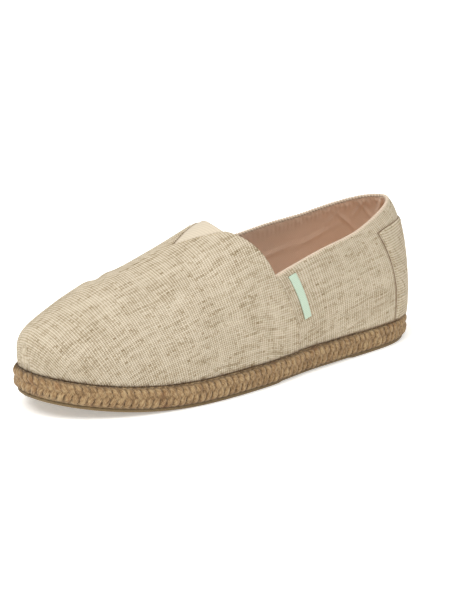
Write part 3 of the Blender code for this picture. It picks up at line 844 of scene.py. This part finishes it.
def vamp_columns(beside, front):
    """Turns from the outer seam round the toe to the inner seam, close together at the seam's fold."""
    shares = np.linspace(SEAM_SHARE, 1.0, 2001)
    ahead = turn_at(np.interp(NOTCH_SHARE, curve(CREST_MEETS, 1, shares), shares), 1)
    near = turn_at(SEAM_SHARE + FOLD / SOLE_LENGTH * np.array([-1.0, -0.75, -0.4, 0.1]), 1)
    to_notch, to_toe = np.linspace(near[-1], ahead, beside), np.linspace(ahead, math.pi, front)
    outer = np.concatenate([near, to_notch[1:], to_toe[1:]])
    return np.concatenate([outer, 2 * math.pi - outer[-2::-1]]), len(near) + beside - 1


def join_halves(grid, notched):
    """Makes the front columns from both sides end at shared points on the crest."""
    front = slice(notched, len(grid) - notched)
    grid[front, -1] = (grid[front, -1] + grid[front, -1][::-1]) / 2


def vamp_grid(depth, beside=36, front=130, rows=60):
    """Grid over the vamp and the number of its columns that end at the notch on each side."""
    turn, notched = vamp_columns(beside, front)
    outer, inner = topline_angle(turn[:1]), topline_angle(turn[-1:])
    level = outer + (inner - outer) * np.linspace(0.0, 1.0, len(turn))
    end = np.full_like(turn, math.pi / 2)
    ends = np.r_[0:notched, len(turn) - notched:len(turn)]
    end[ends] = notch_angle(turn[ends], depth)
    low = wall(turn, level, depth)
    way = np.concatenate([np.linspace(0.0, 0.985, rows), [0.990, 0.995, 1.0]])[1:]
    high = [over_last(turn, level + (end - level) * q, depth) for q in way]
    grid = np.concatenate([low, np.stack(high, 1)], 1)
    join_halves(grid, notched)
    return grid, notched


def vamp_places(grid):
    """Places on the vamp as if it were folded out flat. Across is the distance in plan from the crest and
    forwards the arc length of the crest. What the cloth's way down is longer than that is laid off square
    to the shoe's outline, and lasting draws the picks back by a part of it."""
    at = np.linspace(0.40, 1.0, 400)
    x, y = crest_x(at), crest_y(at)
    run = length_along(np.stack([x, y, last_height(x, y, 0.0)], -1), 0)
    run = run - np.interp(THROAT_SHARE, at, run)
    own_share = np.clip(share_along(grid[..., 1]), 0.0, 1.0)
    flat = np.stack([grid[..., 0] - crest_x(own_share), np.interp(own_share, at, run)], -1)
    down, flat_down = (length_along(lie[:, ::-1], 1)[:, ::-1] for lie in (grid, flat))
    extra = np.maximum(down - flat_down, 0.0)
    along = unit(np.gradient(grid[:, SKIRT, :2], axis=0))
    square = np.stack([-along[:, 1], -along[:, 0] + PICK_TRAIL], -1)
    return flat + extra[..., None] * square[:, None]


def notch_distance(x, y):
    """Distance in plan from the notch's edges, 0 inside it."""
    lean = math.atan2(GORE_WIDTH / 2, GORE_LENGTH)
    side = (np.abs(x - NOTCH_X) - notch_half(y)) * math.cos(lean)
    beyond = np.hypot(x - NOTCH_X, y - NOTCH_POINT)
    return np.maximum(np.where(y > NOTCH_POINT, side, beyond), 0.0)


vamp_base, notched = vamp_grid(0.0)
vamp_place = vamp_places(vamp_base)
seam_run = length_along(vamp_base, 0)
seam_distance = np.minimum(seam_run, seam_run[-1:] - seam_run)
notch_away = notch_distance(vamp_base[..., 0], vamp_base[..., 1])
up_vamp = length_along(vamp_base, 1)
round_sole = seam_run[:, SKIRT:SKIRT + 1]
vamp_height = creased(vamp_place, VAMP_CREASES) + slack(*np.moveaxis(vamp_place, -1, 0), VAMP_SLACK, 1)
vamp_height *= smooth(np.minimum(seam_distance, notch_away) / SEAM_CALM)
vamp_height += fold(seam_distance) + fold(notch_away)
pucker = ditch(up_vamp - PUCKER_HEIGHT, PUCKER_HEIGHT) * smooth(seam_distance / PUCKERS_FROM_SEAM)
vamp_height += PUCKER_DEPTH * pucker * np.sin(round_sole / PUCKER_PITCH * 2 * math.pi)
# Painted shade on the vamp: the shadow line at its foot and a faint one along its folded edge.
vamp_dark = np.maximum(foot_line(up_vamp, round_sole), 0.3 * ditch(seam_distance, EDGE_SHADOW))
vamp_skin = pushed(vamp_base, vamp_height)
join_halves(vamp_skin, notched)
vamp = surface("canvas_vamp", [(vamp_skin, vamp_place, vamp_dark)], canvas, CLOTH)
fasten(vamp, "upper")

# Lock stitches
# Rows of stitches in cotton thread of the canvas's colour: beside the vamp's seams and round the notch
# that holds the elastic.
STITCH = 0.0026                # length of one with its gap
SEWING_THREAD = 0.00026        # half thickness
STITCH_STEPS = 7               # points along one
STITCH_SIDES = 6
FROM_EDGE = 0.0019
BARE_POINT = 0.001             # no stitches this near to the notch's point
BARE_END = 0.002               # nor this near to its corners at the throat
NEAR_EDGE = 20                 # columns of a grid beside its edge, which hold the stitches
SMALL = 1e-4                   # step over the last for a slope


def sewing_cotton(node):
    """Twisted sewing cotton, unbleached, with a faint sheen."""
    place = node("UVMap", uv_map="weave")[0]
    ply = node("TexNoise", {"Vector": place, "Scale": 1 / 0.0004, "Detail": 1.0}, noise_dimensions="2D")[0]
    colour = node("Mix", {0: ply, 6: linear("#9C8A69"), 7: linear("#D8CBB0")}, data_type="RGBA")[2]
    finish(node, ply, 0.0001, 0.6, {"Base Color": colour, "Roughness": 0.7, "Sheen Weight": 0.1})


def at_distance(grid, distance, wanted):
    """Line over a grid, one point a row, where the distance run along its columns is as wanted."""
    rows = zip(distance.T, grid.swapaxes(0, 1))
    return np.array([[np.interp(wanted, away, side) for side in points.T] for away, points in rows])


def capped(grid):
    """Tube's grid with its two ends drawn to points, so that it is closed."""
    points, places, dark = grid
    first, last = (np.broadcast_to(points[end].mean(0), points[:1].shape) for end in (0, -1))
    places = np.concatenate([places[:1], places, places[-1:]])
    return np.concatenate([first, points, last]), places, dark


def stitch_row(line, out):
    """Stitches along a line on the cloth: each an arched tube that dips into the cloth at both ends."""
    run = length_along(line, 0)
    arch = np.sin(np.linspace(0.0, math.pi, STITCH_STEPS))
    grids = []
    for number in range(int(run[-1] / STITCH)):
        along = (number + np.linspace(0.12, 0.88, STITCH_STEPS)) * STITCH
        middle, way = (np.stack([np.interp(along, run, side) for side in part.T], -1)
                       for part in (line, unit(out)))
        centre = middle + way * (SEWING_THREAD * (1.3 * arch - 0.7))[:, None]
        half = SEWING_THREAD * (0.4 + 0.6 * arch)
        grids.append(capped((*tube(centre, way, half, half, STITCH_SIDES), 0.0)))
    return grids


def seam(*grids):
    """Stitches beside the edge where a grid's columns start, from its points, normals and distances."""
    skin, out, away = (grid[:NEAR_EDGE] for grid in grids)
    return stitch_row(at_distance(skin, away, FROM_EDGE), at_distance(out, away, FROM_EDGE))


cotton = made(sewing_cotton)
vamp_normal = normals(vamp_skin)
up_to_corner = slice(1, SKIRT + WALL_ROWS)
stitched = []
for way in (1, -1):
    stitched += seam(*(grid[::way, up_to_corner] for grid in (vamp_skin, vamp_normal, seam_distance)))
notch_y = np.linspace(NOTCH_POINT + BARE_POINT, float(vamp_base[0, -1, 1]) - BARE_END, 60)
for side in (1, -1):
    notch_line_x = NOTCH_X + side * (notch_half(notch_y) + FROM_EDGE)
    notch_line = np.stack([notch_line_x, notch_y, last_height(notch_line_x, notch_y, 0.0)], -1)
    low, high = (last_height(notch_line_x + step, notch_y, 0.0) for step in (-SMALL, SMALL))
    slope = (high - low) / (2 * SMALL)
    stitched += stitch_row(notch_line, unit(np.stack([-slope, 0 * slope, np.ones_like(slope)], -1)))
vamp_stitches = surface("vamp_stitches", stitched, cotton)
fasten(vamp_stitches, "upper")

# Lining
# Tan cotton drill behind the canvas, cut like it and held by the binding and the lasting stitch. It is
# pasted in loosely enough to pucker at the heel.
CANVAS = 0.0018                # whole wall, from canvas to lining
LINING = 0.0004
LINING_ROOM = 0.0001           # up to the canvas behind it
LINING_DEPTH = LAP + CANVAS - LINING_ROOM
RUFFLE_WIDTH = 0.0035          # puckered band under the collar
RUFFLE_PITCH = 0.0011
RUFFLE_HEIGHT = 0.006          # over which its puckers change their place
RUFFLE_START = 0.0022          # width below the binding over which it sets in
RUFFLE_DEPTH = 0.0012
RUFFLE_REACH = 0.06            # how far from the heel it is strong
SIDE_SHADE_REACH = 0.075             # length round from the heel over which its painted shade sets in
SIDE_SHADE_TONE = 0.25               # how much darker the painted shade makes it along the foot than behind the heel
TWILL_PITCH = 0.00098
THROAT_TURN = 0.004            # width over which it is drawn up to the canvas along the vamp's free edge
THROAT_RISE = LINING_DEPTH - LINING - CLOTH - LINING_ROOM     # up to the canvas
THROAT_RISE_AT_GORE = 0.0003   # less, because the elastic lies between them there
LINING_WELD = 3e-5             # wider, because its back and front meet in a seam
LINING_CREASES = (
    # round from the heel, up the wall, direction, half length, half width, depth
    (6, 54, 85, 9, 2.2, 0.9),
    (-7, 58, 60, 8, 1.8, 0.9),
    (-14, 52, 115, 9, 2.0, 0.9),
    (-21, 57, 55, 8, 1.8, 0.8),
    (-29, 50, 125, 9, 2.2, 0.8),
    (-38, 53, 50, 8, 2.2, 0.7),
    (-50, 42, 20, 16, 2.6, 0.7),
    (-82, 36, 12, 18, 3.0, 0.6),
    (20, 47, 80, 8, 2.4, 0.7),
    (36, 36, 70, 9, 3.0, 0.6),
)


def cotton_drill(node):
    """Tan cotton drill: fine twill lines, a soft nap and uneven dye."""
    place = node("UVMap", uv_map="weave")[0]
    twill = node("Mapping", {"Vector": place, "Rotation": (0.0, 0.0, math.radians(60))})[0]
    lines = node("TexWave", {"Vector": twill, "Scale": BAND / TWILL_PITCH, "Distortion": 0.6})["Fac"]
    nap = node("TexNoise", {"Vector": place, "Scale": 1 / 0.0006, "Detail": 2.0})[0]
    dye = node("TexNoise", {"Vector": place, "Scale": 1 / 0.014, "Detail": 3.0})[0]
    tone = summed(node, 0.0, (nap, 0.3), (lines, 0.2), (dye, 0.5))
    colour = node("Mix", {0: tone, 6: linear("#CFB299"), 7: linear("#F0D6BF")}, data_type="RGBA")[2]
    # painted shade on the lining, from its shade attribute
    colour = shaded(node, colour, "#7A4C26")
    relief = node("Math", {0: lines, 1: nap}, operation="ADD")[0]
    finish(node, relief, 0.0002, 0.4, {"Base Color": colour, "Roughness": 0.9, "Sheen Weight": 0.2})


drill = made(cotton_drill)
lining_end = turn_at(SEAM_SHARE - FOLD / SOLE_LENGTH, 1)
lining_turn = np.linspace(-lining_end, lining_end, 401)
lining_back = wall(lining_turn, topline_angle(lining_turn), LINING_DEPTH)
round_heel = length_along(lining_back[:, SKIRT:SKIRT + 1], 0)
round_heel = round_heel - round_heel[len(round_heel) // 2]
lining_lie = np.stack([round_heel + 0 * lining_back[..., 0], length_along(lining_back, 1)], -1)
below_top = lining_lie[:, -1:, 1] - lining_lie[..., 1]
ruffle = ditch(below_top - RUFFLE_WIDTH, RUFFLE_WIDTH) * (0.35 + 0.65 * ditch(round_heel, RUFFLE_REACH))
ruffle = ruffle * (0.5 + 0.5 * uneven(round_heel / RUFFLE_PITCH, below_top / RUFFLE_HEIGHT, 4))
ruffle = ruffle * smooth(below_top / RUFFLE_START)
lining_push = creased(lining_lie, LINING_CREASES) - RUFFLE_DEPTH * ruffle
lining_push = lining_push * smooth((round_heel[-1] - np.abs(round_heel)) / SEAM_CALM)
lining_back = pushed(lining_back, np.minimum(lining_push, LINING_ROOM))
lining_front, _ = vamp_grid(LINING_DEPTH, beside=24, front=60, rows=40)
front_place = vamp_places(lining_front)
front_run = length_along(lining_front, 0)
from_throat = np.minimum(front_run, front_run[-1:] - front_run)
above_collar = length_along(lining_front, 1)
collar_row = SKIRT + WALL_ROWS - 1
above_collar = above_collar - above_collar[:, collar_row:collar_row + 1]
from_gore = smooth(notch_distance(lining_front[..., 0], lining_front[..., 1]) / SEAM_CALM)
rise = THROAT_RISE_AT_GORE + (THROAT_RISE - THROAT_RISE_AT_GORE) * from_gore
rise = rise * smooth(above_collar / THROAT_TURN) * (1 - smooth(from_throat / THROAT_TURN))
lining_front = pushed(lining_front, rise)
# Painted shade: the lining darker along its sides and in front than behind the heel.
lining_shade = SIDE_SHADE_TONE * smooth(np.abs(round_heel) / SIDE_SHADE_REACH - 0.3) + 0 * below_top
lining_grids = [
    (lining_back[::-1], lining_lie[::-1], lining_shade[::-1]),
    (lining_front[::-1], front_place[::-1], SIDE_SHADE_TONE),
]
lining = surface("cotton_lining", lining_grids, drill, LINING, LINING_WELD)
fasten(lining, "upper")

# Footbed
# A cushioned insole covered with the lining's cotton, glued on the jute. The photograph doesn't show it,
# so it is kept plain.
INSOLE_THICKNESS = 0.003
INSOLE_CLEARANCE = 0.0008
FOOTBED_INSET = TUCK + CANVAS + LAP + INSOLE_CLEARANCE
FOOTBED_STEPS = 240            # columns round it
FOOTBED_SECTION = (
    # way out from the middle line, inset from its edge, share of its thickness
    (0.0, 0.0, 0.0),
    (1.0, 0.0003, 0.0),
    (1.0, 0.0, 0.3),
    (1.0, 0.0, 0.7),
    (1.0, 0.0006, 0.95),
    (1.0, 0.0018, 1.0),
    (0.9, 0.0, 0.93),
    (0.6, 0.0, 0.86),
    (0.0, 0.0, 0.84),
)
footbed_profile = [(way, FOOTBED_INSET + inset, height) for way, inset, height in FOOTBED_SECTION]
cushion = slab(last_edge, footbed_profile, lambda y: jute_top(y) + GAP,
               lambda y: jute_top(y) + GAP + INSOLE_THICKNESS, FOOTBED_STEPS)
footbed = surface("footbed", [cushion], drill)
fasten(footbed, "insole")

# Collar binding
# A strip of peach cotton tape folded over the raw edges of quarters and lining, twisted a little by its
# overlock stitch, so that the edge looks like a thin rope.
BINDING_HALF_WIDTH = 0.00105
BINDING_HALF_DEPTH = 0.00095
BINDING_PITCH = 0.0019
BINDING_STEPS = 1401           # points along it
BINDING_SIDES = 12
BINDING_ROPE = (0.11, 0.19)    # how much it is roped, outer and inner side, as a share of its thickness


def cotton_tape(node):
    """Peach cotton tape: fine and soft, with painted shade in the grooves of its twist."""
    place = node("UVMap", uv_map="weave")[0]
    nap = node("TexNoise", {"Vector": place, "Scale": 1 / 0.0008, "Detail": 3.0})[0]
    colour = node("Mix", {0: nap, 6: linear("#B39D86"), 7: linear("#DACAB5")}, data_type="RGBA")[2]
    colour = shaded(node, colour, "#4A2F1C")
    finish(node, nap, 0.0002, 0.5, {"Base Color": colour, "Roughness": 0.85, "Sheen Weight": 0.15})


tape_turn = np.linspace(-quarter_end, quarter_end, BINDING_STEPS)
tape_angle = topline_angle(tape_turn)
tape_centre = over_last(tape_turn, tape_angle, LAP + CANVAS / 2)
tape_up = over_last(tape_turn, tape_angle + SMALL, LAP + CANVAS / 2) - tape_centre
tape_out = unit(np.cross(tape_up, np.gradient(tape_centre, axis=0)))
tape_points, tape_place = tube(tape_centre, tape_out, BINDING_HALF_WIDTH, BINDING_HALF_DEPTH, BINDING_SIDES)
round_tape = np.linspace(0.0, 2 * math.pi, BINDING_SIDES + 1)
twist = 2 * math.pi * tape_place[..., 0] / BINDING_PITCH - round_tape
roped = np.where(tape_turn[:, None] < 0, BINDING_ROPE[1], BINDING_ROPE[0]) * np.cos(twist)
tape_points = tape_centre[:, None] + (tape_points - tape_centre[:, None]) * (1 + roped)[..., None]
# Painted shade in the grooves where the roped tape twists inwards.
tape_dark = np.maximum(-2.0 * roped, 0.0)
tape_dark = np.concatenate([tape_dark[:1], tape_dark, tape_dark[-1:]])
binding = surface("collar_binding", [capped((tape_points, tape_place, tape_dark))], made(cotton_tape))
fasten(binding, "upper")

# Elastic gore
# Cream elastic webbing, sewn under the notch of the vamp with its ribs across the foot. It lets the
# throat stretch for the foot.
GORE_DEPTH = 0.0008
GORE_THICKNESS = 0.0009
GORE_UNDER = 0.0022            # width sewn under the canvas on each side
GORE_HOLLOW = 0.003            # its free edge is drawn forwards between the canvas corners
GORE_RIB = 0.00178
GORE_TIP = 0.001               # it runs on past the notch's point
GORE_SHADOW = 0.0010           # half width of the painted shadow of the canvas on it


def ribbed_elastic(node):
    """Cream elastic webbing: close ribs of covered rubber thread, smooth and a little shiny."""
    place = node("UVMap", uv_map="weave")[0]
    ribs = node("TexWave", {"Vector": place, "Scale": BAND / GORE_RIB}, bands_direction="Y")["Fac"]
    nap = node("TexNoise", {"Vector": place, "Scale": 1 / 0.0005, "Detail": 2.0})[0]
    tone = summed(node, nap, (ribs, 0.5))
    colour = node("Mix", {0: tone, 6: linear("#AFA18B"), 7: linear("#C8BBA5")}, data_type="RGBA")[2]
    colour = shaded(node, colour, "#53330F")
    finish(node, tone, 0.00015, 0.25, {"Base Color": colour, "Roughness": 0.7, "Sheen Weight": 0.1})


mouth = np.array([vamp_base[0, -1], vamp_base[-1, -1]])
across = np.linspace(1.0, -1.0, 81)[None, :]
along = np.linspace(0.0, 1.0, 41)[:, None]
mouth_y = mouth[:, 1].mean() + across * (mouth[0, 1] - mouth[1, 1]) / 2 - GORE_HOLLOW * (1 - across ** 2)
gore_y = mouth_y + (NOTCH_POINT - GORE_TIP - mouth_y) * along
gore_x = NOTCH_X + across * (notch_half(gore_y) + GORE_UNDER)
gore_grid = np.stack([gore_x, gore_y, last_height(gore_x, gore_y, GORE_DEPTH)], -1)
gore_edge = notch_half(gore_y) - np.abs(gore_x - NOTCH_X)
# Painted shadow of the canvas's folded edges on the elastic, stronger on the inner side.
gore_dark = np.where(gore_x < NOTCH_X, 0.9, 0.35) * ditch(np.maximum(gore_edge, 0.0), GORE_SHADOW)
webbing = (gore_grid, gore_grid[..., :2], gore_dark)
gore = surface("elastic_webbing", [webbing], made(ribbed_elastic), GORE_THICKNESS)
fasten(gore, "elastic_gore")

# Counter patch
# A canvas patch that stiffens the back of the heel. Its edges are folded under and sewn on with one row
# of stitches.
PATCH_DEPTH = LAP - GAP - CLOTH
PATCH_SLACK = (0.0001, 0.009, 0.010)
PATCH_PLACE = 0.3              # of its threads, so that they don't repeat the quarters'
near_edge = np.array([0.0, 0.004, 0.010, 0.018])
patch_middle = np.linspace(-patch_end, patch_end, 101)[3:-3]
patch_turn = np.concatenate([near_edge - patch_end, patch_middle, patch_end - near_edge[::-1]])
patch_angle = topline_angle(patch_turn, patch_below(patch_turn))
patch_low = wall(patch_turn, patch_angle, PATCH_DEPTH, np.linspace(0.0, 1.0, 61))
patch_run = length_along(patch_low, 0)
patch_side = np.minimum(patch_run, patch_run[-1:] - patch_run)
patch_up = length_along(patch_low, 1)
patch_top = patch_up[:, -1:] - patch_up
patch_lift = fold(patch_side) + fold(patch_top)
patch_lift += slack(patch_low[..., 0], patch_low[..., 2], PATCH_SLACK, 5)
patch_place = np.stack([patch_run + PATCH_PLACE, patch_up], -1)
# Painted shadow line along the patch's foot, where it meets the jute.
patch_dark = 0.85 * ditch(np.maximum(patch_up - 0.6 * FOOT_SHADOW, 0.0), LINE_BLUR)
patch_skin = pushed(patch_low, patch_lift)
patch = surface("counter_patch", [(patch_skin, patch_place, patch_dark)], canvas, CLOTH)
fasten(patch, "heel_patch")

patch_normal = normals(patch_skin)
stitched_rows = slice(1, int(np.argmin(np.abs(patch_top[0] - FROM_EDGE))))
patch_stitched = []
for way in (1, -1):
    patch_stitched += seam(*(grid[::way, stitched_rows] for grid in (patch_skin, patch_normal, patch_side)))
across_top = (grid[3:-3, ::-1].swapaxes(0, 1) for grid in (patch_skin, patch_normal, patch_top))
patch_stitched += seam(*across_top)
patch_stitches = surface("patch_stitches", patch_stitched, cotton)
fasten(patch_stitches, "heel_patch")

# Side tag
# A short end of pale green woven tape, sewn flat on the outer quarter beside the vamp's seam. It is
# left bare.
TAG_WIDTH = 0.0065
TAG_LENGTH = 0.026
TAG_FROM_SEAM = 0.0115
TAG_BELOW_TOPLINE = 0.0035
TAG_THICKNESS = 0.0004
TAG_GAP = 0.0002
TAG_RIB = 0.00099


def woven_tape(node):
    """Pale green woven tape: fine cross ribs and a firm selvedge."""
    place = node("UVMap", uv_map="weave")[0]
    ribs = {"Vector": place, "Scale": BAND / TAG_RIB, "Distortion": 0.2}
    ribs = node("TexWave", ribs, bands_direction="Y")["Fac"]
    nap = node("TexNoise", {"Vector": place, "Scale": 1 / 0.0007, "Detail": 2.0})[0]
    tone = summed(node, nap, (ribs, 0.5))
    colour = node("Mix", {0: tone, 6: linear("#A1B6A0"), 7: linear("#BDCEBB")}, data_type="RGBA")[2]
    finish(node, tone, 0.0002, 0.5, {"Base Color": colour, "Roughness": 0.75})


tag_middle = share_along(crest_y(SEAM_SHARE) + TAG_FROM_SEAM)
tag_half = TAG_WIDTH / 2 / SOLE_LENGTH
tag_turn = turn_at(np.linspace(tag_middle - tag_half, tag_middle + tag_half, 11), 1)
tag_full = topline_angle(tag_turn)
tag_high, tag_low = (topline_angle(tag_turn, TAG_BELOW_TOPLINE + down) for down in (0.0, TAG_LENGTH))
tag_depth = LAP - TAG_THICKNESS - TAG_GAP
tag_angles = tag_low + (tag_high - tag_low) * np.linspace(0.0, 1.0, 41)[:, None]
tag_rows = [over_last(leaned(tag_turn, angle / tag_full), angle, tag_depth) for angle in tag_angles]
tag_grid = np.stack(tag_rows, 1)
tag_place = np.stack([length_along(tag_grid, 0), length_along(tag_grid, 1)], -1)
tag = surface("side_tape", [(tag_grid, tag_place, 0.0)], made(woven_tape), TAG_THICKNESS)
fasten(tag, "side_tag")
